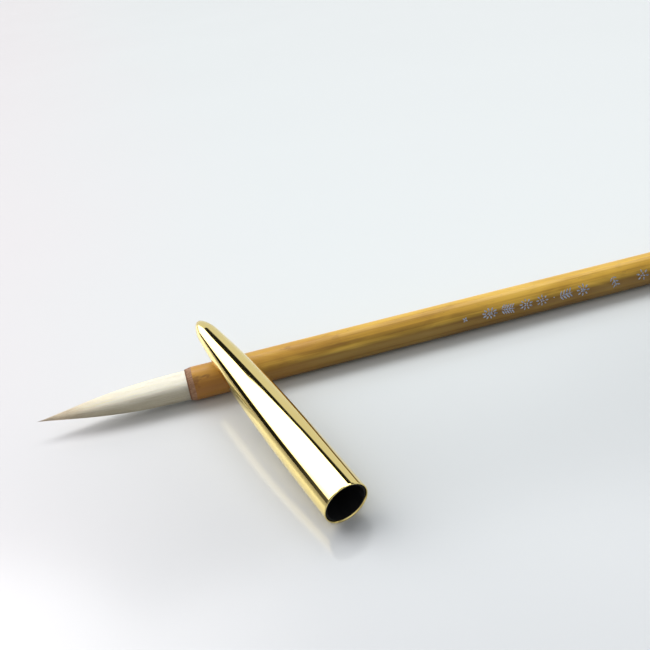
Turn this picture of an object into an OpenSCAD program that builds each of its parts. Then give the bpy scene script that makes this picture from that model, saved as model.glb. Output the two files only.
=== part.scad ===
// Calligraphy brush lying on a table, with its gold cap taken off and leaned across the handle.
// The handle runs along +X with its tail at +X. Z = 0 is the table.
// The origin is on the table, at the middle of the whole outline seen from above.

/* [Handle] */
// Outside diameter of the bamboo handle
handle_d = 9; // [7.5:0.1:13]
// Length of the bamboo from its mouth to its tail
handle_len = 205; // [150:1:260]
// Wall of the bamboo around its natural hollow
culm_wall = 2.3; // [1.6:0.1:2.6]
// Wall left around the socket that holds the hair
socket_wall = 0.6; // [0.4:0.05:0.9]
// Depth of the socket
socket_depth = 12; // [10:0.5:18]
// Length of the bare bevel turned round the mouth
bevel_len = 1.8; // [0.5:0.1:3]
// Thickness of the lip at the front of the bevel
lip = 0.25; // [0.15:0.05:0.35]
// Chamfer round the tail end
tail_chamfer = 0.4; // [0.2:0.1:0.8]

/* [Tail plug] */
// Length of the spigot inside the hollow
spigot_len = 10; // [5:0.5:20]
// Length of the plug's head behind the bamboo
plug_head = 2.5; // [1.5:0.1:5]
// Rounding of the head's edge
plug_round = 0.8; // [0.3:0.1:1.4]
// Diameter of the hole for a hanging loop
loop_hole_d = 1.6; // [1:0.1:2]

/* [Hair] */
// Length of the hair outside the handle
tuft_len = 39; // [30:0.5:50]
// Fullness of the belly: a higher value keeps the tuft thick nearer the point
belly = 2.4; // [1.8:0.1:3]
// Fineness of the point: a higher value draws it out thinner
point = 1.3; // [1:0.05:1.6]
// Thickness of the layer of outer hairs at the mouth
mantle_t = 1.2; // [0.8:0.1:1.5]
// Length of bare core hairs at the point
bare_tip = 3; // [2:0.5:6]
// Diameter of the thread that binds the root
thread_d = 0.35; // [0.2:0.05:0.45]
// Number of turns of thread
thread_turns = 12; // [6:1:14]
// Thickness of the resin that seals the root
seal_t = 1.2; // [0.6:0.1:2]
// Thickness of the glue at the bottom of the socket
glue_floor = 1; // [0.5:0.1:1.5]
// Thickness of the glue round the root
glue_t = 0.2; // [0.1:0.05:0.3]

/* [Cap] */
// Sheet thickness of the drawn brass
cap_wall = 0.45; // [0.3:0.05:0.6]
// Thickness of the black lining sleeve
liner_t = 0.25; // [0.1:0.05:0.4]
// Radial clearance of the sleeve round the handle
cap_clearance = 0.1; // [0.05:0.05:0.3]
// Length of the straight mouth before the side starts to curve
cap_straight = 17.3; // [10:0.1:22]
// How far the handle goes into the cap when the cap is on
cap_grip = 31; // [22:0.5:36]
// Free space ahead of the hair when the cap is on
nose_room = 3.7; // [2:0.1:8]
// Outside radius of the round nose
nose_r = 2.4; // [1.2:0.1:2.8]
// Chamfer round the mouth
rim_chamfer = 0.1; // [0.05:0.05:0.2]
// How far the sleeve is set back from the mouth
liner_setback = 0.3; // [0.2:0.1:1]

/* [Leaning cap] */
// Turn of the cap from the direction of the handle
cap_turn = 105.9; // [80:0.1:120]
// Rise of the cap's axis from its mouth to its nose
cap_lean = 7.15; // [6:0.05:8.5]
// Distance from the handle's mouth to where the cap crosses it
cross_x = 10.3; // [7:0.1:30]
// Gap left between the cap and the handle where they touch
rest_gap = 0.1; // [0.05:0.05:0.3]

/* [Hidden] */

$fn = 96;
fit = 0.02;            // radial gap of a glued or pressed fit
side_steps = 1440;     // fineness of the cap's long side arc
neck_len = 1.5;        // length over which the hair narrows to its bound root
binding_gap = 0.4;     // space between the neck and the first turn of thread
thread_lap = 0.03;     // how far neighbouring turns of thread press into each other
seal_chamfer = 0.3;

handle_r = handle_d / 2;
hollow_r = handle_r - culm_wall;
socket_r = handle_r - socket_wall;
tuft_r = socket_r - fit;
bound_r = socket_r - fit - glue_t - thread_d - 2 * fit;
core_root_r = tuft_r - mantle_t;
seal_z = socket_depth - glue_floor - seal_t;   // root end of the hair, which the seal covers
neck_z = 1;                                    // where the hair starts to narrow inside the socket
binding_z = neck_z + neck_len + binding_gap;
thread_pitch = thread_d - thread_lap;
turns_that_fit = floor((seal_z - binding_z - thread_d) / thread_pitch);

liner_r = handle_r + cap_clearance;
shell_bore_r = liner_r + liner_t + fit;
cap_r = shell_bore_r + cap_wall;
cap_len = tuft_len + cap_grip + nose_room + cap_wall;
// Radius of the long side arc: it leaves the straight mouth and the round nose without a corner
nose_z = cap_len - nose_r;
arc_run = nose_z - cap_straight;
side_r = (arc_run * arc_run + cap_r * cap_r - nose_r * nose_r) / (2 * (cap_r - nose_r));
side_end = asin(arc_run / (side_r - nose_r));

// The cap stands on the lowest point of its mouth and touches the top of the handle.
cap_dir = [cos(cap_lean) * cos(cap_turn), cos(cap_lean) * sin(cap_turn), sin(cap_lean)];
mouth_z = cap_r * cos(cap_lean);
// Height angle at which the straight mouth would touch; the arc's slope adds to it
flat_touch = atan2(cap_dir.z, cap_dir.y);

// Slope of the cap's side where its outward normal leans t degrees from straight down
function side_slope(t) = asin(cap_dir.y * sin(t) - cap_dir.z * cos(t));
// Distance from the handle's axis to the cap's mouth that makes them touch with that normal
function standoff_at(t) =
    (rest_gap + handle_r + side_r
     + (handle_r - mouth_z) * cos(t)
     + cap_straight * sin(side_slope(t))
     + (cap_r - side_r) * cos(side_slope(t))) / sin(t);

touch_steps = 120;
standoff = min([for (i = [1:touch_steps]) standoff_at(flat_touch + side_end * i / touch_steps)]);
mouth_x = cross_x - standoff * cos(cap_turn) / sin(cap_turn);

// Middle of the outline from above
x_mid = (handle_len + plug_head - tuft_len) / 2;
near_y = -standoff - cap_r * sqrt(1 - cap_dir.y * cap_dir.y);
far_y = max(handle_r, nose_r + nose_z * cap_dir.y - standoff);
y_mid = (near_y + far_y) / 2;

// Stands a piece turned about Z on the brush's axis: Z = 0 becomes the handle's mouth
module on_brush() {
    translate([-x_mid, -y_mid, handle_r]) rotate([0, 90, 0]) children();
}

// Stands a piece turned about Z on the cap's axis: Z = 0 becomes the cap's mouth
module on_cap() {
    translate([mouth_x - x_mid, -standoff - y_mid, mouth_z])
        rotate([0, 90 - cap_lean, cap_turn]) children();
}

// A ring of square section, from z0 to z1
module sleeve(inner, outer, z0, z1) {
    rotate_extrude() translate([inner, z0]) square([outer - inner, z1 - z0]);
}

// Radius of the tuft at a distance s from its point
function hair_r(s) = tuft_r * pow(1 - pow(1 - s / tuft_len, belly), point);
// Radius of the core, which the outer hairs cover more and more towards the root
function core_r(s) = hair_r(s) - mantle_t * max(0, s - bare_tip) / (tuft_len - bare_tip);

hair_steps = 22;
// Stations from the bare tip to the mouth, closer together near the point
function station(i) = bare_tip + (tuft_len - bare_tip) * pow(i / hair_steps, 1.2);

module handle_tube() {
    color("peru") on_brush() rotate_extrude() polygon([
        [socket_r, 0],
        [socket_r + lip, 0],
        [handle_r, bevel_len],
        [handle_r, handle_len - tail_chamfer],
        [handle_r - tail_chamfer, handle_len],
        [hollow_r, handle_len],
        [hollow_r, socket_depth],
        [socket_r, socket_depth]
    ]);
}

module end_plug() {
    head_r = handle_r - tail_chamfer;
    head_z = handle_len + plug_head;
    edge = min(plug_round, plug_head);
    color("saddlebrown") on_brush() difference() {
        rotate_extrude() polygon(concat(
            [[0, handle_len - spigot_len], [hollow_r - fit, handle_len - spigot_len],
             [hollow_r - fit, handle_len], [head_r, handle_len]],
            [for (a = [0:15:90]) [head_r - edge + edge * cos(a), head_z - edge + edge * sin(a)]],
            [[0, head_z]]
        ));
        translate([0, 0, handle_len - spigot_len - 1])
            cylinder(d = loop_hole_d, h = spigot_len + plug_head + 2);
    }
}

// Glue that fills the socket round the bound root and behind its seal
module socket_glue() {
    inner = bound_r + thread_d + 2 * fit;
    color("goldenrod") on_brush() rotate_extrude() polygon([
        [0, seal_z + seal_t], [inner, seal_z + seal_t],
        [inner, binding_z - fit], [socket_r - fit, binding_z - fit],
        [socket_r - fit, socket_depth], [0, socket_depth]
    ]);
}

// Resin melted onto the cut ends of the hair
module root_seal() {
    color("sienna") on_brush() rotate_extrude() polygon([
        [0, seal_z], [bound_r, seal_z], [bound_r, seal_z + seal_t - seal_chamfer],
        [bound_r - seal_chamfer, seal_z + seal_t], [0, seal_z + seal_t]
    ]);
}

// Turns of thread side by side round the root
module root_binding() {
    turn_r = bound_r + fit + thread_d / 2;
    color("ivory") on_brush() rotate_extrude()
        for (i = [0:min(thread_turns, turns_that_fit) - 1])
            translate([turn_r, binding_z + thread_d / 2 + i * thread_pitch]) circle(d = thread_d, $fn = 24);
}

module tuft_core() {
    tip_steps = 8;
    color("antiquewhite") on_brush() rotate_extrude() polygon(concat(
        [for (i = [0:tip_steps - 1]) let (s = bare_tip * i / tip_steps) [hair_r(s), s - tuft_len]],
        [for (i = [0:hair_steps]) let (s = station(i)) [core_r(s) - (i > 0 ? fit : 0), s - tuft_len]],
        [[core_root_r - fit, seal_z], [0, seal_z]]
    ));
}

module tuft_mantle() {
    color("floralwhite") on_brush() rotate_extrude() polygon(concat(
        [for (i = [0:hair_steps]) let (s = station(i)) [hair_r(s), s - tuft_len]],
        [[tuft_r, neck_z], [bound_r, neck_z + neck_len], [bound_r, seal_z], [core_root_r, seal_z]],
        [for (i = [hair_steps:-1:1]) let (s = station(i)) [core_r(s), s - tuft_len]]
    ));
}

// Half outline of the cap, moved in by a wall t: a straight mouth, a long side arc and a round nose
module cap_outline(t) {
    join_z = cap_straight + (side_r - t) * sin(side_end);
    square([cap_r - t, cap_straight]);
    intersection() {
        translate([cap_r - side_r, cap_straight]) circle(r = side_r - t, $fn = side_steps);
        translate([0, cap_straight]) square([cap_r, join_z - cap_straight]);
    }
    intersection() {
        translate([0, nose_z]) circle(r = nose_r - t);
        translate([0, join_z]) square([nose_r, cap_len - join_z]);
    }
}

module cap_shell() {
    color("gold") on_cap() rotate_extrude() difference() {
        cap_outline(0);
        cap_outline(cap_wall);
        polygon([[cap_r - rim_chamfer, 0], [cap_r, 0], [cap_r, rim_chamfer]]);
    }
}

module cap_liner() {
    color("black") on_cap() sleeve(liner_r, liner_r + liner_t, liner_setback, cap_straight);
}

handle_tube();
end_plug();
socket_glue();
root_seal();
root_binding();
tuft_core();
tuft_mantle();
cap_shell();
cap_liner();
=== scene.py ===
import math

import bpy
import numpy as np
from mathutils import Matrix, Vector


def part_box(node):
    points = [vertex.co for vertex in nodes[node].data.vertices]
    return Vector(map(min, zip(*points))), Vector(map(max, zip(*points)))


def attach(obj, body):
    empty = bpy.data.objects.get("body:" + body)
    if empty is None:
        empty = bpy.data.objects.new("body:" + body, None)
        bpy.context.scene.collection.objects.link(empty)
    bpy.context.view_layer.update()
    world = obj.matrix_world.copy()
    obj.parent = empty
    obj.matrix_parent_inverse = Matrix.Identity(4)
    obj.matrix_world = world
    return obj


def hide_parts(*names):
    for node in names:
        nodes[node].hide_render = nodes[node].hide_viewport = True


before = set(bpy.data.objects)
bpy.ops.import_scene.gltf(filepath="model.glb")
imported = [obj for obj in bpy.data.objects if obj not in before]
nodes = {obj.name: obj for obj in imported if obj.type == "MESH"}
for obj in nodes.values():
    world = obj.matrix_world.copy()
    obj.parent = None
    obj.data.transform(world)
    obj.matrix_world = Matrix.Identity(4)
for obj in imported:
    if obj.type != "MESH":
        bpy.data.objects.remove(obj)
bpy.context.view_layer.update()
mm = 0.001
print("frame loaded:", len(nodes), "nodes")

handleLow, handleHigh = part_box("handle_tube")
capLow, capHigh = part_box("cap_shell")
mouthX = handleLow.x
axisY = (handleLow.y + handleHigh.y) / 2
handleR = (handleHigh.z - handleLow.z) / 2
axisZ = (handleHigh.z + handleLow.z) / 2
handleLen = handleHigh.x - handleLow.x


class Tap:
    # one output of a node tree, with arithmetic that adds Math nodes
    def __init__(self, mixer, socket):
        self.mixer = mixer
        self.socket = socket

    def calc(self, operation, a, b):
        return self.mixer.add("ShaderNodeMath", {"operation": operation}, {0: a, 1: b})

    def __add__(self, other):
        return self.calc("ADD", self, other)

    def __radd__(self, other):
        return self.calc("ADD", other, self)

    def __sub__(self, other):
        return self.calc("SUBTRACT", self, other)

    def __rsub__(self, other):
        return self.calc("SUBTRACT", other, self)

    def __mul__(self, other):
        return self.calc("MULTIPLY", self, other)

    def __rmul__(self, other):
        return self.calc("MULTIPLY", other, self)


class Mixer:
    # a node tree, empty at first, for a finish or for the room's light
    def __init__(self, tree):
        self.tree = tree
        tree.nodes.clear()

    def add(self, kind, settings=None, values=None, out=0):
        node = self.tree.nodes.new(kind)
        for key, value in (settings or {}).items():
            if key == "stops":
                ramp = node.color_ramp
                while len(ramp.elements) < len(value):
                    ramp.elements.new(1.0)
                for element, (place, colour) in zip(ramp.elements, value):
                    element.position = place
                    element.color = (*colour, 1.0)
            else:
                setattr(node, key, value)
        for key, value in (values or {}).items():
            socket = node.inputs[key]
            if isinstance(value, Tap):
                self.tree.links.new(value.socket, socket)
            else:
                socket.default_value = value
        return Tap(self, node.outputs[out] if node.outputs else None)

    def place(self):
        return self.add("ShaderNodeTexCoord", out="Object")

    def stretch(self, vector, scale):
        return self.add("ShaderNodeVectorMath", {"operation": "MULTIPLY"}, {0: vector, 1: scale})

    def parts(self, vector):
        split = self.add("ShaderNodeSeparateXYZ", values={0: vector})
        return [Tap(self, split.socket.node.outputs[i]) for i in range(3)]

    def noise(self, vector, scale, detail=2.0, rough=0.5, warp=0.0):
        values = {"Vector": vector, "Scale": scale, "Detail": detail, "Roughness": rough, "Distortion": warp}
        return self.add("ShaderNodeTexNoise", {}, values)

    def fade(self, value, low, high, a=0.0, b=1.0):
        # smooth passage from a to b as value goes from low to high
        values = {"Value": value, "From Min": low, "From Max": high, "To Min": a, "To Max": b}
        return self.add("ShaderNodeMapRange", {"interpolation_type": "SMOOTHSTEP"}, values)

    def ramp(self, factor, stops):
        return self.add("ShaderNodeValToRGB", {"stops": stops}, {0: factor})

    def blend(self, factor, a, b, mode="MIX"):
        # sockets 6 and 7 of a Mix node are its colours
        colours = {k: (*c, 1.0) if isinstance(c, tuple) else c for k, c in ((6, a), (7, b))}
        settings = {"data_type": "RGBA", "blend_type": mode}
        return self.add("ShaderNodeMix", settings, {0: factor, **colours}, out=2)

    def bump(self, height, strength, distance):
        return self.add("ShaderNodeBump", {}, {"Height": height, "Strength": strength, "Distance": distance})


def newFinish(name, values):
    # returns a mixer with a principled shader, whose constant values are set here
    material = bpy.data.materials.new(name)
    material.use_nodes = True
    mixer = Mixer(material.node_tree)
    shader = mixer.add("ShaderNodeBsdfPrincipled", {}, values)
    mixer.add("ShaderNodeOutputMaterial", {}, {"Surface": shader})
    mixer.material = material
    mixer.shader = shader.socket.node
    return mixer


def feed(mixer, **links):
    # links a varying value to the shader's socket of that name
    names = {
        "colour": "Base Color",
        "rough": "Roughness",
        "metal": "Metallic",
        "coat": "Coat Weight",
        "normal": "Normal",
        "glow": "Emission Color",
    }
    for key, tap in links.items():
        mixer.tree.links.new(tap.socket, mixer.shader.inputs[names[key]])


def wear(node, mixer):
    # gives a carried-over node its finish
    mesh = nodes[node].data
    mesh.materials.clear()
    mesh.materials.append(mixer.material)


def gridFaces(rows, columns, closeRows=False, closeColumns=False):
    # quads of a grid of points, optionally joined end to start either way
    r = np.arange(rows if closeRows else rows - 1)[:, None]
    c = np.arange(columns if closeColumns else columns - 1)[None, :]
    r2, c2 = (r + 1) % rows, (c + 1) % columns
    quads = np.stack([r * columns + c, r * columns + c2, r2 * columns + c2, r2 * columns + c], -1)
    return quads.reshape(-1, 4)


def newPiece(name, points, quads, triangles=None, finishes=(), uv=None):
    # puts arrays of corners and faces into a mesh; uv holds one pair for each corner point
    points = np.asarray(points, dtype=np.float32).reshape(-1, 3)
    triangles = np.zeros((0, 3), dtype=np.int32) if triangles is None else np.asarray(triangles, dtype=np.int32)
    quads = np.asarray(quads, dtype=np.int32).reshape(-1, 4)
    loops = np.concatenate([quads.ravel(), triangles.ravel()])
    sizes = np.concatenate([np.full(len(quads), 4), np.full(len(triangles), 3)]).astype(np.int32)
    starts = np.concatenate([[0], np.cumsum(sizes)[:-1]]).astype(np.int32)
    mesh = bpy.data.meshes.new(name)
    mesh.vertices.add(len(points))
    mesh.vertices.foreach_set("co", points.ravel())
    mesh.loops.add(len(loops))
    mesh.loops.foreach_set("vertex_index", loops)
    mesh.polygons.add(len(sizes))
    mesh.polygons.foreach_set("loop_start", starts)
    mesh.update(calc_edges=True)
    mesh.validate()
    mesh.polygons.foreach_set("use_smooth", np.full(len(mesh.polygons), True))
    if uv is not None:
        layer = mesh.uv_layers.new(name="strandMap")
        index = np.zeros(len(mesh.loops), dtype=np.int32)
        mesh.loops.foreach_get("vertex_index", index)
        layer.data.foreach_set("uv", np.asarray(uv, dtype=np.float32).reshape(-1, 2)[index].ravel())
    for finish in finishes:
        mesh.materials.append(finish.material)
    piece = bpy.data.objects.new(name, mesh)
    bpy.context.scene.collection.objects.link(piece)
    return piece


def onHandle(x, radius, angle):
    # a point x from the mouth, at that distance from the handle's axis; angle 0 is +Y and 90 degrees is up
    return np.stack([mouthX + x, axisY + radius * np.cos(angle), axisZ + radius * np.sin(angle)], -1)


def ripple(rng, angle, x, count, reach, span):
    # sum of a few low waves round and along a stalk, each with a random phase, about 1 at most
    total = 0.0
    for k in range(count):
        around = rng.integers(1, reach)
        along = rng.uniform(0.3, 1.0) / span
        total = total + np.sin(around * angle + 2 * np.pi * along * x + rng.uniform(0, 6.28)) / count
    return total


view = {
    "azimuth": -10.82,
    "elevation": 32.15,
    "roll": -8.12,
    "distance": 234.88 * mm,
    "alongHandle": 42.18 * mm,  # aim from the handle's mouth towards its tail
    "behindHandle": 19.31 * mm,  # aim behind the handle's axis, on the table
    "lens": 44.31,
}


def setCamera():
    aim = Vector((mouthX + view["alongHandle"], axisY + view["behindHandle"], 0.0))
    az, el, roll = (math.radians(view[k]) for k in ("azimuth", "elevation", "roll"))
    back = Vector((math.sin(az) * math.cos(el), -math.cos(az) * math.cos(el), math.sin(el)))
    right = (-back).cross(Vector((0, 0, 1))).normalized()
    up = right.cross(-back)
    right, up = right * math.cos(roll) + up * math.sin(roll), up * math.cos(roll) - right * math.sin(roll)
    data = bpy.data.cameras.new("camera")
    data.lens = view["lens"]
    data.sensor_width = 36
    data.clip_start, data.clip_end = 0.01, 20
    camera = bpy.data.objects.new("camera", data)
    place = Matrix((right, up, back)).transposed().to_4x4()
    place.translation = aim + back * view["distance"]
    camera.matrix_world = place
    bpy.context.scene.collection.objects.link(camera)
    bpy.context.scene.camera = camera


setCamera()
print("camera set")

studio = {
    "panel": 4.2,  # the large white light behind and to the left, at its middle
    "panelLow": 2.9,  # and at its lower edge
    "wall": 0.78,  # pale wall behind, on the right
    "room": 0.22,  # the rest of the room
    "ceiling": 0.3,  # more of it overhead
    "fill": 0.22,  # and more on the -Y side
    "dark": 0.012,  # rail under the light, and the unlit foot of the room
    "floorPink": (0.78, 0.745, 0.76),
    "floorCool": (0.73, 0.768, 0.772),
    "floorShadow": (0.70, 0.69, 0.705),  # painted shadow: the part towards -Y is that much duller
    "floorRough": 0.14,
    "rings": 28,
    "spokes": 96,
}


def makeStudio():
    scene = bpy.context.scene
    scene.view_settings.view_transform = "Standard"
    world = bpy.data.worlds.new("studio")
    world.use_nodes = True
    scene.world = world
    light = Mixer(world.node_tree)
    x, y, z = light.parts(light.add("ShaderNodeTexCoord", out="Generated"))
    degree = math.degrees(1)
    height = light.add("ShaderNodeMath", {"operation": "ARCSINE"}, {0: z}) * degree
    turn = light.add("ShaderNodeMath", {"operation": "ARCTAN2"}, {0: x, 1: y}) * degree  # 0 is +Y, 90 is +X
    # on the right a pale wall with a dark rail on it carries the panel;
    # on the left the panel comes down to a dark foot
    wallTop = 35.5 + light.fade(turn, 4, 18, 0, 3) - light.fade(turn, 24, 46, 0, 12)
    panelFoot = 48.0 - light.fade(turn, 10, 50, 0, 7)
    overRail = light.fade(height - panelFoot, -1.2, 1.2)
    footTop = 17.0 - light.fade(turn, -56, -44, 0, 13)
    overFoot = light.fade(height - footTop, -2.5, 2.5)
    right = light.fade(turn - light.fade(height, 37, 47, 0, 12), -28, -23)
    panel = right * overRail + (1 - right) * overFoot
    panel = panel * light.fade(turn, -84, -66) * (1 - light.fade(turn, 52, 66))
    panel = panel * (1 - light.fade(height, 62, 74))
    onWall = right * (1 - light.fade(height - wallTop, -1.5, 1.5)) * (1 - light.fade(turn, 80, 110))
    rail = right * light.fade(height - wallTop, -1.5, 1.5) * (1 - overRail) * (1 - light.fade(turn, 56, 74))
    foot = (1 - overFoot) * light.fade(turn, -82, -66) * (1 - right)
    glow = studio["room"] + light.fade(height, 20, 75, 0, studio["ceiling"])
    glow = glow + light.fade(0 - y, 0.0, 0.4, 0, studio["fill"])
    glow = glow * (1 - onWall) + studio["wall"] * onWall
    glow = glow * (1 - rail) * (1 - foot) + studio["dark"] * (rail + foot)
    bright = light.fade(height, 8, 40, studio["panelLow"], studio["panel"])
    glow = glow * (1 - panel) + bright * panel
    tint = light.blend(light.fade(turn, -80, 10), (1.0, 0.975, 0.985), (0.97, 0.99, 1.0))
    sky = light.add("ShaderNodeBackground", {}, {"Color": tint, "Strength": glow})
    light.add("ShaderNodeOutputWorld", {}, {"Surface": sky})

    # floor: a wide round sheet, fine near the object
    count, spokes = studio["rings"], studio["spokes"]
    rings = 0.02 * 1.22 ** np.arange(count)
    angle = np.linspace(0, 2 * np.pi, spokes + 1)[:-1]
    points = np.stack(
        [rings[:, None] * np.cos(angle), rings[:, None] * np.sin(angle), np.zeros((count, spokes))], -1
    )
    middle = np.array([[0.0, 0.0, 0.0]])
    quads = gridFaces(count, spokes, closeColumns=True)[:, ::-1]
    k = np.arange(spokes)
    fan = np.stack([np.full(spokes, count * spokes), k, (k + 1) % spokes], -1)
    finish = newFinish("paleTable", {"IOR": 1.5})
    spot = finish.place()
    acrossX, acrossY, unused = finish.parts(spot)
    side = finish.fade(acrossX + 0.05 * finish.noise(spot, 9.0, 2.0), -0.17, 0.0)
    tint = finish.blend(side, studio["floorPink"], studio["floorCool"])
    # painted shadow on the floor in front of the brush, towards -Y
    near = finish.fade(acrossY, -0.10, 0.05, 1.0, 0.0) * finish.fade(acrossX, -0.14, -0.06)
    tint = finish.blend(near, tint, studio["floorShadow"], "MULTIPLY")
    rough = studio["floorRough"]
    feed(finish, colour=tint, rough=finish.fade(finish.noise(spot, 9.0, 3.0), 0.3, 0.7, rough, rough + 0.05))
    floor = newPiece("floor", np.concatenate([points.reshape(-1, 3), middle]), quads, fan, finishes=[finish])


makeStudio()
print("studio made")

handle = {
    "bevelLen": 1.8 * mm,
    "lipWidth": 0.25 * mm,
    "socketR": 3.9 * mm,
    "socketDepth": 12 * mm,
    "hollowR": 2.2 * mm,
    "tailChamfer": 0.4 * mm,
    "ridge": 0.022 * mm,  # height of the fibres that show through the lacquer
    "unround": 0.05 * mm,
    "bevelWave": 0.22 * mm,  # how far the bevel's edge wanders
    "lacquerShadeFrom": -1.9 * mm,  # the painted shade of the under side is full here, against the axis
    "lacquerShadeTo": 0.6 * mm,  # and gone here
    "mouthStain": 45 * mm,  # the stain fades out this far from the mouth
    "around": 192,
    "seed": 11,
}


def makeHandle():
    # Stalk: a closed outline carried round the axis. Its outside radius is the handle's radius less
    # a slow out-of-round wave and a fine ridge wave, so it never stands proud. The bevel of the mouth
    # starts at a wavy line.
    rng = np.random.default_rng(handle["seed"])
    around = handle["around"]
    angle = np.linspace(0, 2 * np.pi, around + 1)[:-1]
    along = np.concatenate(
        [
            np.linspace(handle["bevelLen"], 6 * mm, 12)[:-1],
            np.linspace(6 * mm, handleLen - 3 * mm, 150)[:-1],
            np.linspace(handleLen - 3 * mm, handleLen - handle["tailChamfer"], 8),
        ]
    )
    x, a = np.meshgrid(along, angle, indexing="ij")
    wave = ripple(rng, a, x, 5, 4, 90 * mm)
    ridges = ripple(rng, a, x, 9, 46, 300 * mm)
    outer = handleR - handle["unround"] * (0.5 + 0.5 * wave) - handle["ridge"] * (0.5 + 0.5 * ridges)
    bevelEdge = handle["bevelWave"] * ripple(rng, angle, 0 * angle, 4, 6, 1.0)
    x = x + bevelEdge[None, :] * np.clip(1 - (x - handle["bevelLen"]) / (4 * mm), 0, 1)
    rows = [(x[i], outer[i]) for i in range(len(along))]

    def hoop(place, radius, ruffle=0.0):
        rough = ruffle * ripple(rng, angle, 0 * angle, 6, 30, 1.0)
        return (np.full(around, place) + rough, np.full(around, radius) + rough * 0.4)

    first, firstR = x[0], outer[0]
    lipR = handle["socketR"] + handle["lipWidth"]
    bevel = [
        (first * (1 - t) + 0.04 * mm * t, firstR * (1 - t) + lipR * t + 0.02 * mm * np.sin(6.28 * t))
        for t in (0.06, 0.16, 0.3, 0.45, 0.6, 0.75, 0.88, 0.96)
    ]
    depth, socket, hollow, chamfer = (handle[k] for k in ("socketDepth", "socketR", "hollowR", "tailChamfer"))
    inside = [
        hoop(0.0, lipR - 0.03 * mm, 0.012 * mm),
        hoop(0.0, lipR - 0.12 * mm, 0.01 * mm),
        hoop(0.02 * mm, socket + 0.03 * mm),
        hoop(0.10 * mm, socket),
        hoop(depth * 0.5, socket),
        hoop(depth - 0.05 * mm, socket),
        hoop(depth, socket - 0.05 * mm),
        hoop(depth, hollow + 0.05 * mm),
        hoop(depth + 0.05 * mm, hollow),
        hoop(handleLen * 0.5, hollow),
        hoop(handleLen - 0.06 * mm, hollow),
        hoop(handleLen, hollow + 0.06 * mm),
        hoop(handleLen, (hollow + handleR) / 2),
        hoop(handleLen, handleR - chamfer - 0.05 * mm),
        hoop(handleLen - 0.03 * mm, handleR - chamfer),
        hoop(handleLen - chamfer * 0.5, handleR - chamfer * 0.5),
    ]
    outline = rows[::-1] + bevel + inside
    px = np.stack([r[0] for r in outline])
    pr = np.stack([r[1] for r in outline])
    points = onHandle(px, pr, angle[None, :])
    quads = gridFaces(len(outline), around, closeRows=True, closeColumns=True)[:, ::-1]
    # lacquered outside, bare mouth and bore, raw tail
    bare = np.zeros(len(outline), dtype=int)
    bare[len(rows) :] = 1
    stalk = newPiece("stalk", points, quads, finishes=[lacquer, bareCane])
    slots = np.repeat(bare, around)
    stalk.data.polygons.foreach_set("material_index", slots.astype(np.int32))
    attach(stalk, "brush")
    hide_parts("handle_tube")


def makeLacquer():
    # golden lacquer over long fibres; fibres are columns along the stalk, so noise is squeezed along X
    paint = newFinish("goldenLacquer", {"Coat Roughness": 0.16, "Specular IOR Level": 0.35, "Coat IOR": 1.45})
    spot = paint.place()
    fibres = paint.noise(paint.stretch(spot, (14, 2600, 2600)), 1.0, 4.0, 0.62)
    bands = paint.noise(paint.stretch(spot, (9, 420, 420)), 1.0, 3.0, 0.55, 0.2)
    cloud = paint.noise(paint.stretch(spot, (38, 150, 150)), 1.0, 3.0, 0.6, 0.6)
    fleck = paint.noise(paint.stretch(spot, (300, 1500, 1500)), 1.0, 2.0, 0.7)
    tone = bands * 0.45 + cloud * 0.3 + fibres * 0.25
    base = paint.ramp(
        tone,
        [
            (0.36, (0.42, 0.215, 0.018)),
            (0.46, (0.60, 0.335, 0.030)),
            (0.54, (0.74, 0.45, 0.050)),
            (0.64, (0.85, 0.55, 0.085)),
        ],
    )
    # painted shade: darker and browner on the -Y side and underneath, with an uneven edge
    x, y, z = paint.parts(spot)
    height = (z - axisZ) * 0.75 + (y - axisY) * 0.65 + (bands - 0.5) * 0.004 + (cloud - 0.5) * 0.003
    brown = paint.fade(height, handle["lacquerShadeFrom"], handle["lacquerShadeTo"], 1, 0)
    base = paint.blend(brown, base, (0.37, 0.34, 0.32), "MULTIPLY")
    # a warm stain towards the mouth
    nearMouth = paint.fade(x + (cloud - 0.5) * 0.03, mouthX, mouthX + handle["mouthStain"], 1, 0)
    base = paint.blend(nearMouth * 0.6, base, (0.46, 0.19, 0.030))
    stain = paint.fade(paint.noise(paint.stretch(spot, (120, 330, 330)), 1.0, 4.0, 0.65), 0.56, 0.68)
    base = paint.blend(stain * (0.15 + 0.5 * nearMouth), base, (0.17, 0.07, 0.015))
    specks = paint.fade(fleck, 0.70, 0.78)
    base = paint.blend(specks * 0.55, base, (0.16, 0.06, 0.012))
    feed(
        paint,
        colour=base,
        rough=paint.fade(fibres, 0.3, 0.7, 0.38, 0.52),
        coat=paint.fade(cloud, 0.3, 0.7, 0.15, 0.3),
        normal=paint.bump(fibres * 0.6 + bands * 0.4, 0.35, 0.05 * mm),
    )
    return paint


def makeBareCane():
    # cut fibre ends and scraped cane, brown and dull
    paint = newFinish("bareCane", {"Specular IOR Level": 0.25})
    spot = paint.place()
    cells = {"Vector": paint.stretch(spot, (900, 3400, 3400)), "Scale": 1.0}
    pores = paint.add("ShaderNodeTexVoronoi", {"feature": "F1"}, cells)
    grain = paint.noise(paint.stretch(spot, (260, 2600, 2600)), 1.0, 4.0, 0.65)
    base = paint.ramp(grain, [(0.3, (0.22, 0.11, 0.06)), (0.5, (0.34, 0.19, 0.11)), (0.7, (0.47, 0.29, 0.18))])
    base = paint.blend(paint.fade(pores, 0.08, 0.3, 0.55, 0.0), base, (0.10, 0.045, 0.02))
    # stained dark on the lip
    x = paint.parts(spot)[0]
    lip = paint.fade(x, mouthX + 0.1 * mm, mouthX + 0.6 * mm, 0.7, 0.0)
    base = paint.blend(lip, base, (0.13, 0.055, 0.03))
    rough = paint.fade(grain, 0.3, 0.7, 0.62, 0.85)
    feed(paint, colour=base, rough=rough, normal=paint.bump(grain, 0.5, 0.06 * mm))
    return paint


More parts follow.
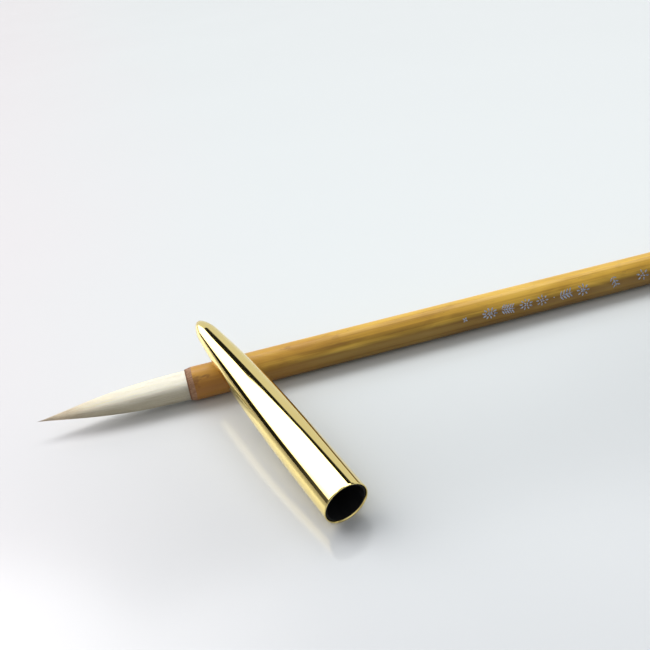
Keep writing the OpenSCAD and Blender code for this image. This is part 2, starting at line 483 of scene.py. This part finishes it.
lacquer = makeLacquer()
bareCane = makeBareCane()
makeHandle()
print("handle made")

hair = {
    "length": 39 * mm,
    "rootR": 3.88 * mm,
    "belly": 2.4,
    "point": 1.3,
    "coverT": 1.2 * mm,  # thickness of the outer hairs at the mouth
    "bareTip": 3.0 * mm,
    "rise": 0.35 * mm,  # the point curls up a little
    "outerStrands": 1000,
    "coreStrands": 420,
    "outerGroove": 0.045 * mm,
    "coreGroove": 0.03 * mm,
    "outerDepth": (0.045 * mm, 0.12 * mm),  # how deep a strand lies, least and most
    "coreDepth": (0.03 * mm, 0.12 * mm),
    "outerGirth": (0.035 * mm, 0.065 * mm),
    "coreGirth": (0.02 * mm, 0.035 * mm),
    "hairShadeFrom": -2.2 * mm,  # the painted shade of the under side is full here, against the axis
    "hairShadeTo": 0.6 * mm,  # and gone here
    "glow": 0.2,
    "seed": 5,
}


def tuftR(s):
    # outside radius s from the point: root radius times (1 - (1 - s/length)^belly)^point
    f = np.clip(s / hair["length"], 0, 1)
    return hair["rootR"] * (1 - (1 - f) ** hair["belly"]) ** hair["point"]


def coreR(s):
    # the core's radius: the tuft's less a cover that grows from the bare tip to the mouth
    covered = np.clip(s - hair["bareTip"], 0, None) / (hair["length"] - hair["bareTip"])
    return tuftR(s) - hair["coverT"] * covered


def tuftPoint(s, radius, angle):
    # a point of the tuft s from its tip; the axis rises towards the tip as the square of the way along
    out = onHandle(s - hair["length"], radius, angle)
    out[..., 2] += hair["rise"] * np.clip(1 - s / hair["length"], 0, 1) ** 2.2
    return out


def hairBody(s, radiusOf, rng, around, groove):
    # Packed hair: radius at s less grooves. A groove is a sum of high waves round the tuft that
    # drift slowly along it, deeper towards the middle of the length.
    angle = np.linspace(0, 2 * np.pi, around + 1)[:-1]
    ss, aa = np.meshgrid(s, angle, indexing="ij")
    fine = ripple(rng, aa, ss, 10, 70, 60 * mm)
    locks = ripple(rng, aa, ss, 6, 22, 50 * mm)
    depth = groove * (0.55 + 0.45 * fine) + groove * 0.8 * (0.5 + 0.5 * locks)
    radius = radiusOf(ss)
    radius = np.maximum(radius - depth * np.clip(radius / (1.2 * mm), 0, 1), 0.02 * mm)
    points = tuftPoint(ss, radius, aa)
    uv = np.stack([(aa / (2 * np.pi) * 61) % 1.0, 1 - ss / hair["length"]], -1)
    rows = len(s)
    quads = gridFaces(rows, around, closeColumns=True)
    # both ends close in a fan
    endS = s[[0, -1]]
    ends = tuftPoint(endS, np.zeros(2), np.zeros(2))
    endUv = np.stack([np.full(2, 0.5), 1 - endS / hair["length"]], -1)
    k = np.arange(around)
    after = (k + 1) % around
    last = (rows - 1) * around
    tipFan = np.stack([np.full(around, rows * around), after, k], -1)
    rootFan = np.stack([np.full(around, rows * around + 1), last + k, last + after], -1)
    allPoints = np.concatenate([points.reshape(-1, 3), ends])
    return allPoints, quads, np.concatenate([tipFan, rootFan]), np.concatenate([uv.reshape(-1, 2), endUv])


def strands(rng, count, sRoot, sEnd, depth, girth, stations):
    # Hairs: each is a flat three-sided tube on a path that lies just under the tuft's outline. The path
    # keeps its angle apart from a shared sway of its lock and a small wander of its own. Its girth thins
    # to the end.
    start = rng.uniform(0, 2 * np.pi, count)
    t = np.linspace(0, 1, stations)[None, :]
    s = sRoot[:, None] + (sEnd - sRoot)[:, None] * t ** 0.85
    lock = 0.10 * np.sin(9 * start + 1.3)[:, None] * np.sin(np.pi * t * 0.9)
    lock = lock + 0.05 * np.sin(23 * start)[:, None] * t
    swings, phase = rng.uniform(0.6, 2.4, count)[:, None], rng.uniform(0, 6.28, count)[:, None]
    wander = 0.10 * mm * np.sin(np.pi * t * swings + phase)
    radius = np.maximum(tuftR(s) - depth[:, None] * np.clip(tuftR(s) / (1.5 * mm), 0.15, 1), 0.01 * mm)
    angle = start[:, None] + lock * 0.5 + wander / np.maximum(radius, 0.5 * mm)
    thick = girth[:, None] * (1 - 0.85 * t ** 2.5)
    sides = np.arange(3) * 2 * np.pi / 3 + np.pi / 2
    lift = thick[..., None] * np.sin(sides)  # away from the axis
    swing = thick[..., None] * np.cos(sides)  # round the axis
    r = np.maximum(radius[..., None] + lift * 0.25, 0.004 * mm)
    a = angle[..., None] + swing / np.maximum(radius[..., None], 0.12 * mm)
    points = tuftPoint(np.broadcast_to(s[..., None], r.shape), r, a)
    tone = rng.uniform(0, 1, count)[:, None, None] + np.zeros(r.shape)
    uv = np.stack([tone, 1 - np.broadcast_to(s[..., None], r.shape) / hair["length"]], -1)
    one = gridFaces(stations, 3, closeColumns=True)
    per = stations * 3
    quads = (one[None] + (np.arange(count) * per)[:, None, None]).reshape(-1, 4)
    base = np.arange(count)[:, None] * per
    first = base + np.array([0, 2, 1])[None]
    last = base + (stations - 1) * 3 + np.array([0, 1, 2])[None]
    return points.reshape(-1, 3), quads, np.concatenate([first, last])[:, ::-1], uv.reshape(-1, 2)


def joined(*meshes):
    # one set of arrays from several
    points, quads, triangles, uvs, offset = [], [], [], [], 0
    for p, q, t, u in meshes:
        points.append(p), quads.append(q + offset), triangles.append(t + offset), uvs.append(u)
        offset += len(p)
    return np.concatenate(points), np.concatenate(quads), np.concatenate(triangles), np.concatenate(uvs)


def hairPiece(name, meshes, finish, node):
    points, quads, triangles, uv = joined(*meshes)
    piece = newPiece(name, points, quads, triangles, finishes=[finish], uv=uv)
    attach(piece, "brush")
    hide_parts(node)


def makeHair():
    rng = np.random.default_rng(hair["seed"])
    full, bareTip = hair["length"], hair["bareTip"]
    # outer hairs: a packed body under the strands, from just inside the socket
    s = bareTip + (full - bareTip) * np.linspace(0, 1, 110) ** 1.15
    s = np.concatenate([s, [full + 0.6 * mm, full + 1.4 * mm]])
    body = hairBody(s, lambda v: tuftR(v) - 0.05 * mm, rng, 260, hair["outerGroove"])
    count = hair["outerStrands"]
    # six in ten hairs end near the point, the others anywhere along the belly
    reachesTip = rng.uniform(0, 1, count) < 0.6
    nearTip = rng.gamma(2.0, 1.5 * mm, count) + 0.3 * mm
    sEnd = np.where(reachesTip, nearTip, rng.uniform(5 * mm, 24 * mm, count))
    sRoot = np.full(count, full + 1.0 * mm)
    depth = rng.uniform(*hair["outerDepth"], count)
    outer = strands(rng, count, sRoot, sEnd, depth, rng.uniform(*hair["outerGirth"], count), 20)
    hairPiece("outerHair", (body, outer), paleHair, "tuft_mantle")

    # core: bare point, then hidden under the outer hairs
    def packedR(v):
        return np.minimum(coreR(v), tuftR(v) - 0.12 * mm * np.clip(v / (4 * mm), 0, 1)) * 0.86

    s = 0.12 * mm + 12 * mm * np.linspace(0, 1, 60) ** 1.4
    s = np.concatenate([s, [20 * mm, 30 * mm, full, full + 8 * mm]])
    body = hairBody(s, packedR, rng, 96, hair["coreGroove"])
    count = hair["coreStrands"]
    sRoot = rng.uniform(7 * mm, 14 * mm, count)
    sEnd = rng.gamma(1.6, 0.55 * mm, count)
    depth = rng.uniform(*hair["coreDepth"], count)
    core = strands(rng, count, sRoot, sEnd, depth, rng.uniform(*hair["coreGirth"], count), 14)
    hairPiece("coreHair", (body, core), coreHair, "tuft_core")


def makeHairFinish(name, root, middle, tip, end):
    # tone comes from the strand, and colour from its place along the hair: U is the strand, V runs to the tip
    sheen = {"Sheen Weight": 0.5, "Sheen Roughness": 0.4}
    paint = newFinish(name, {"Specular IOR Level": 0.4, "Emission Strength": hair["glow"], **sheen})
    uv = paint.add("ShaderNodeUVMap", {"uv_map": "strandMap"})
    strand, along, unused = paint.parts(uv)
    spot = paint.place()
    streak = paint.noise(paint.stretch(spot, (60, 3200, 3200)), 1.0, 3.0, 0.6)
    lock = paint.noise(paint.stretch(spot, (45, 700, 700)), 1.0, 3.0, 0.55)
    base = paint.ramp(along, [(0.0, root), (0.45, middle), (0.86, tip), (0.985, end)])
    tone = strand * 0.35 + streak * 0.4 + lock * 0.25
    base = paint.blend(paint.fade(tone, 0.28, 0.46, 0.7, 0.0), base, (0.80, 0.71, 0.55), "MULTIPLY")
    # painted shade: greyer on the -Y side and underneath
    x, y, z = paint.parts(spot)
    rise = (z - axisZ) * 0.8 + (y - axisY) * 0.6
    hairShade = paint.fade(rise + (lock - 0.5) * 0.001, hair["hairShadeFrom"], hair["hairShadeTo"], 1.0, 0.0)
    base = paint.blend(hairShade, base, (0.60, 0.57, 0.50), "MULTIPLY")
    # a faint glow of the upper side stands in for light scattered in the pale hair
    upper = paint.fade(rise, -0.6 * mm, 1.2 * mm) * paint.fade(along, 0.5, 0.95, 1.0, 0.3)
    glow = paint.blend(upper, (0, 0, 0), (1.0, 0.93, 0.76))
    # a few brown hairs, more of them towards the tip
    brown = paint.fade(strand, 0.93, 0.96) * paint.fade(along, 0.25, 0.8)
    base = paint.blend(brown * 0.6, base, (0.36, 0.24, 0.13))
    rough = paint.fade(streak, 0.3, 0.7, 0.42, 0.62)
    normal = paint.bump(streak * 0.7 + lock * 0.3, 0.35, 0.05 * mm)
    feed(paint, colour=base, glow=glow, rough=rough, normal=normal)
    return paint


paleHair = makeHairFinish(
    "paleHair", (1.0, 0.985, 0.88), (1.0, 0.97, 0.83), (0.97, 0.87, 0.66), (0.66, 0.52, 0.36)
)
coreHair = makeHairFinish(
    "coreHair", (0.86, 0.78, 0.60), (0.84, 0.73, 0.53), (0.78, 0.64, 0.45), (0.30, 0.22, 0.17)
)
makeHair()
print("hair made")

cap = {
    "wall": 0.45 * mm,
    "lipR": 0.13 * mm,  # the wall thins to this half round at the lip
    "mouthR": 5.32 * mm,
    "straight": 17.3 * mm,
    "length": 74.15 * mm,
    "noseR": 2.4 * mm,
    "noseLen": 7.0 * mm,  # the nose narrows over this length, as a quarter of an ellipse
    "lean": 7.15,  # degrees up from the table
    "turn": 105.9,  # degrees from +X
    "around": 224,
}


def capFrame():
    # the cap's axis and the centre of its mouth, from its own box and angles
    lean, turn = math.radians(cap["lean"]), math.radians(cap["turn"])
    axis = np.array([math.cos(lean) * math.cos(turn), math.cos(lean) * math.sin(turn), math.sin(lean)])
    side = np.cross(axis, [0, 0, 1.0])
    side /= np.linalg.norm(side)
    rise = np.cross(side, axis)
    # the mouth's circle touches the box at its right, near and low sides
    reach = cap["mouthR"] * np.sqrt(1 - axis**2)
    mouth = np.array([capHigh.x - reach[0], capLow.y + reach[1], capLow.z + reach[2]])
    return mouth, axis, side, rise


def capPoint(s, radius, angle):
    mouth, axis, side, rise = capFrame()
    ring = np.cos(angle)[..., None] * side + np.sin(angle)[..., None] * rise
    return mouth + s[..., None] * axis + radius[..., None] * ring


def capOutline(t, sideCount, noseCount):
    # A straight mouth, then one long arc to the nose. Over the nose's length the arc's radius is multiplied by
    # sqrt(1 - u^2), with u from 0 to 1 along it. All is moved in by the wall t.
    run = cap["length"] - cap["noseR"] - cap["straight"]
    sideR = (run**2 + cap["mouthR"] ** 2 - cap["noseR"] ** 2) / (2 * (cap["mouthR"] - cap["noseR"]))
    start = cap["length"] - cap["noseLen"]
    u = np.sin(np.linspace(0, np.pi / 2, noseCount))[1:]
    s = np.concatenate([np.linspace(cap["straight"], start, sideCount), start + u * (cap["noseLen"] - t)])
    side = cap["mouthR"] - sideR + np.sqrt(sideR**2 - (s - cap["straight"]) ** 2)
    r = (side - t) * np.concatenate([np.ones(sideCount), np.sqrt(np.clip(1 - u**2, 0, 1))])
    return s, r


def makeCap():
    # Shell: an outline carried round the cap's axis, out along the side to the nose and back inside.
    # The lip is a half round. Each side closes in a fan at its pole.
    around = cap["around"]
    angle = np.linspace(0, 2 * np.pi, around + 1)[:-1]
    outS, outR = capOutline(0, 120, 26)
    inS, inR = capOutline(cap["wall"], 40, 12)
    lip = np.linspace(-np.pi / 2, np.pi / 2, 9)
    edge = cap["lipR"]
    lipS = edge * 0.5 - edge * 0.5 * np.cos(lip)
    lipR = cap["mouthR"] - edge + edge * np.sin(lip)
    straight = np.linspace(0.4 * mm, cap["straight"], 16)[:-1]
    s = np.concatenate([inS[-2::-1], np.linspace(cap["straight"], 0.4 * mm, 6)[1:], lipS, straight, outS[:-1]])
    r = np.concatenate(
        [inR[-2::-1], np.full(5, cap["mouthR"] - cap["wall"]), lipR, np.full(15, cap["mouthR"]), outR[:-1]]
    )
    inner = len(inS) - 1 + 5
    points = capPoint(*np.broadcast_arrays(s[:, None], r[:, None], angle[None, :]))
    quads = gridFaces(len(s), around, closeColumns=True)[:, ::-1]
    poles = capPoint(np.array([inS[-1], outS[-1]]), np.zeros(2), np.zeros(2))
    k = np.arange(around)
    base = len(s) * around
    last = base - around
    after = (k + 1) % around
    fanIn = np.stack([np.full(around, base), k, after], -1)
    fanOut = np.stack([np.full(around, base + 1), last + after, last + k], -1)
    points = np.concatenate([points.reshape(-1, 3), poles])
    shell = newPiece("goldCap", points, quads, np.concatenate([fanIn, fanOut]), finishes=[gold, dullBrass])
    slots = np.zeros(len(shell.data.polygons), dtype=np.int32)
    slots[: (inner - 1) * around] = 1
    slots[len(quads) : len(quads) + around] = 1
    shell.data.polygons.foreach_set("material_index", slots)
    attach(shell, "cap")
    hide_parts("cap_shell")


def makeGold():
    paint = newFinish("goldPlate", {"Specular IOR Level": 0.5})
    spot = paint.place()
    cloud = paint.noise(spot, 90.0, 3.0, 0.5)
    smear = paint.noise(paint.stretch(spot, (900, 60, 900)), 1.0, 3.0, 0.6)
    scratch = paint.noise(paint.stretch(spot, (5200, 260, 5200)), 1.0, 2.0, 0.6, 0.4)
    base = paint.blend(cloud, (0.88, 0.70, 0.26), (0.92, 0.76, 0.31))
    feed(
        paint,
        colour=base,
        metal=paint.fade(cloud, 0.0, 0.2, 0.99, 1.0),
        rough=paint.fade(smear, 0.35, 0.75, 0.035, 0.075) + paint.fade(scratch, 0.66, 0.72, 0.0, 0.03),
        normal=paint.bump(paint.noise(spot, 130.0, 1.0, 0.4), 0.12, 0.06 * mm),
    )
    return paint


def makeDullBrass():
    paint = newFinish("drawnBrassInside", {})
    spot = paint.place()
    grain = paint.noise(paint.stretch(spot, (1500, 200, 1500)), 1.0, 3.0, 0.6)
    base = paint.ramp(grain, [(0.3, (0.10, 0.065, 0.02)), (0.7, (0.22, 0.15, 0.055))])
    feed(
        paint,
        colour=base,
        metal=paint.fade(grain, 0.2, 0.8, 0.7, 0.95),
        rough=paint.fade(grain, 0.3, 0.7, 0.4, 0.6),
        normal=paint.bump(grain, 0.2, 0.03 * mm),
    )
    return paint


def makeBlackSleeve():
    paint = newFinish("blackSleeve", {"Specular IOR Level": 0.3})
    spot = paint.place()
    grain = paint.noise(spot, 2400.0, 3.0, 0.6)
    rub = paint.noise(paint.stretch(spot, (400, 90, 400)), 1.0, 3.0, 0.55)
    base = paint.blend(paint.fade(rub, 0.55, 0.8), (0.006, 0.006, 0.007), (0.02, 0.02, 0.023))
    rough = paint.fade(rub, 0.3, 0.7, 0.55, 0.8)
    feed(paint, colour=base, rough=rough, normal=paint.bump(grain, 0.25, 0.03 * mm))
    return paint


gold = makeGold()
dullBrass = makeDullBrass()
makeCap()
wear("cap_liner", makeBlackSleeve())
print("cap made")

foil = {
    "angle": math.radians(180 - 16.8),  # round the stalk, on its -Y side, a little above level
    "places": [76.3, 83.6, 89.0, 94.4, 99.2, 102.6, 106.5, 111.7, 121.5, 130.3],  # mm from the mouth
    "thick": 0.03 * mm,
    "sink": 0.035 * mm,  # how far the marks' feet lie under the handle's radius
    "size": 1.9 * mm,
    "stations": 7,  # sections along a petal
    "sides": 6,  # corners of a section
}


def petals(places, lengths, widths, turns):
    # Petals: each is a closed pod along a short line. Its width swells as the sine of the way along, and
    # its section is a low dome over a flat foot. Flat x and y here are later wrapped round the stalk.
    stations, sides = foil["stations"], foil["sides"]
    t = np.linspace(0.02, 0.98, stations)[None, :, None]
    section = np.linspace(0, 2 * np.pi, sides + 1)[:-1][None, None, :]
    half = widths[:, None, None] / 2 * np.sin(np.pi * t) ** 0.7
    alongLine = lengths[:, None, None] * (t - 0.5) + 0 * section
    across = half * np.cos(section)
    up = foil["thick"] * np.clip(np.sin(section), -0.4, 1) * np.sin(np.pi * t) ** 0.4
    c, s = np.cos(turns)[:, None, None], np.sin(turns)[:, None, None]
    x = places[:, 0, None, None] + alongLine * c - across * s
    y = places[:, 1, None, None] + alongLine * s + across * c
    flat = np.stack(np.broadcast_arrays(x, y, up), -1)
    first = np.arange(len(places))[:, None] * stations * sides
    last = first + (stations - 1) * sides
    quads = (gridFaces(stations, sides, closeColumns=True)[None] + first[:, :, None]).reshape(-1, 4)
    # each end closes with two quads
    corners = (first + [3, 2, 1, 0], first + [5, 4, 3, 0], last + [0, 1, 2, 3], last + [0, 3, 4, 5])
    ends = np.concatenate(corners)
    return flat.reshape(-1, 3), np.concatenate([quads, ends])[:, ::-1]


def ring(count, inner, outer, width, spin=0.0):
    # petals round a centre, each pointing out
    a = spin + np.arange(count) * 2 * np.pi / count
    middle = (inner + outer) / 2
    place = np.stack([middle * np.cos(a), middle * np.sin(a)], -1)
    return place, np.full(count, outer - inner), np.full(count, width), a


def sprig(size, pairs, spin):
    # a stem along the stalk with pairs of leaves that lean to its end
    stem = np.linspace(-0.75, 0.75, pairs)
    sign = np.repeat([1.0, -1.0], pairs)
    along = np.tile(stem, 2)
    place = np.concatenate([[[0.0, 0.0]], np.stack([along, sign * 0.42], -1)])
    turn = np.concatenate([[0.0], sign * 0.95])
    length = np.concatenate([[2.2], np.full(2 * pairs, 0.85)])
    c, s = math.cos(spin), math.sin(spin)
    place = place @ np.array([[c, s], [-s, c]])
    return place * size, length * size, np.full(2 * pairs + 1, 0.24) * size, turn + spin


def rosette(size, petalsOut, petalsIn, spin, squash):
    # two rings of petals, narrowed round the stalk
    outside = ring(petalsOut, 0.5 * size, 1.08 * size, 0.27 * size, spin)
    inside = ring(petalsIn, 0.05 * size, 0.46 * size, 0.24 * size, spin + 0.4)
    place, length, width, turn = (np.concatenate(v) for v in zip(outside, inside))
    along, across = np.cos(turn), squash * np.sin(turn)
    return place * [1, squash], length * np.hypot(along, across), width, np.arctan2(across, along)


def makeFoil():
    size = foil["size"]
    designs = [
        ring(4, 0.02 * size, 0.42 * size, 0.26 * size, 0.6),
        rosette(size * 1.12, 10, 5, 0.2, 0.72),
        sprig(size, 5, 0.1),
        rosette(size, 9, 4, 0.5, 0.8),
        rosette(size * 0.92, 8, 4, 0.1, 0.85),
        ring(1, 0.0, 0.22 * size, 0.2 * size),
        sprig(size * 0.98, 4, -0.12),
        rosette(size, 8, 5, 0.9, 0.9),
        sprig(size * 0.8, 3, 1.2),
        rosette(size * 0.98, 6, 3, 0.3, 0.85),
    ]
    placed = [(place + [x * mm, 0], *rest) for (place, *rest), x in zip(designs, foil["places"])]
    flat, quads = petals(*(np.concatenate(v) for v in zip(*placed)))
    radius = handleR - foil["sink"] + flat[:, 2]
    points = onHandle(flat[:, 0], radius, foil["angle"] + flat[:, 1] / handleR)
    marks = newPiece("foilMarks", points, quads, finishes=[silverFoil])
    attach(marks, "brush")


def makeSilverFoil():
    paint = newFinish("silverFoil", {"Specular IOR Level": 0.5})
    spot = paint.place()
    worn = paint.noise(spot, 3800.0, 3.0, 0.65)
    base = paint.blend(paint.fade(worn, 0.5, 0.6), (0.46, 0.52, 0.64), (0.10, 0.13, 0.22))
    feed(
        paint,
        colour=base,
        metal=paint.fade(worn, 0.4, 0.6, 0.75, 0.35),
        rough=paint.fade(worn, 0.3, 0.7, 0.3, 0.55),
        normal=paint.bump(worn, 0.3, 0.02 * mm),
    )
    return paint


silverFoil = makeSilverFoil()
makeFoil()
print("foil marks made")


def makePlugWood():
    paint = newFinish("darkPlugWood", {"Coat Roughness": 0.3, "Specular IOR Level": 0.4})
    spot = paint.place()
    grain = paint.noise(paint.stretch(spot, (90, 1600, 1600)), 1.0, 4.0, 0.6, 0.3)
    stops = [(0.3, (0.10, 0.045, 0.02)), (0.55, (0.22, 0.11, 0.05)), (0.75, (0.34, 0.19, 0.09))]
    base = paint.ramp(grain, stops)
    feed(
        paint,
        colour=base,
        rough=paint.fade(grain, 0.3, 0.7, 0.35, 0.5),
        coat=paint.fade(grain, 0.3, 0.7, 0.2, 0.35),
        normal=paint.bump(grain, 0.3, 0.04 * mm),
    )
    return paint


def makeThread():
    paint = newFinish("bindingThread", {"Sheen Weight": 0.3})
    spot = paint.place()
    twist = paint.noise(paint.stretch(spot, (5000, 1800, 1800)), 1.0, 3.0, 0.6)
    base = paint.ramp(twist, [(0.3, (0.62, 0.56, 0.44)), (0.7, (0.86, 0.82, 0.72))])
    rough = paint.fade(twist, 0.3, 0.7, 0.7, 0.9)
    feed(paint, colour=base, rough=rough, normal=paint.bump(twist, 0.5, 0.05 * mm))
    return paint


def makeResin(name, dark, light):
    paint = newFinish(name, {"Specular IOR Level": 0.5})
    spot = paint.place()
    swirl = paint.noise(spot, 700.0, 4.0, 0.6, 0.8)
    base = paint.ramp(swirl, [(0.3, dark), (0.7, light)])
    rough = paint.fade(swirl, 0.3, 0.7, 0.15, 0.4)
    feed(paint, colour=base, rough=rough, normal=paint.bump(swirl, 0.2, 0.1 * mm))
    return paint


wear("end_plug", makePlugWood())
wear("root_binding", makeThread())
wear("root_seal", makeResin("meltedResin", (0.13, 0.05, 0.015), (0.30, 0.13, 0.045)))
wear("socket_glue", makeResin("amberGlue", (0.50, 0.30, 0.08), (0.72, 0.52, 0.20)))
print("small finishes made")
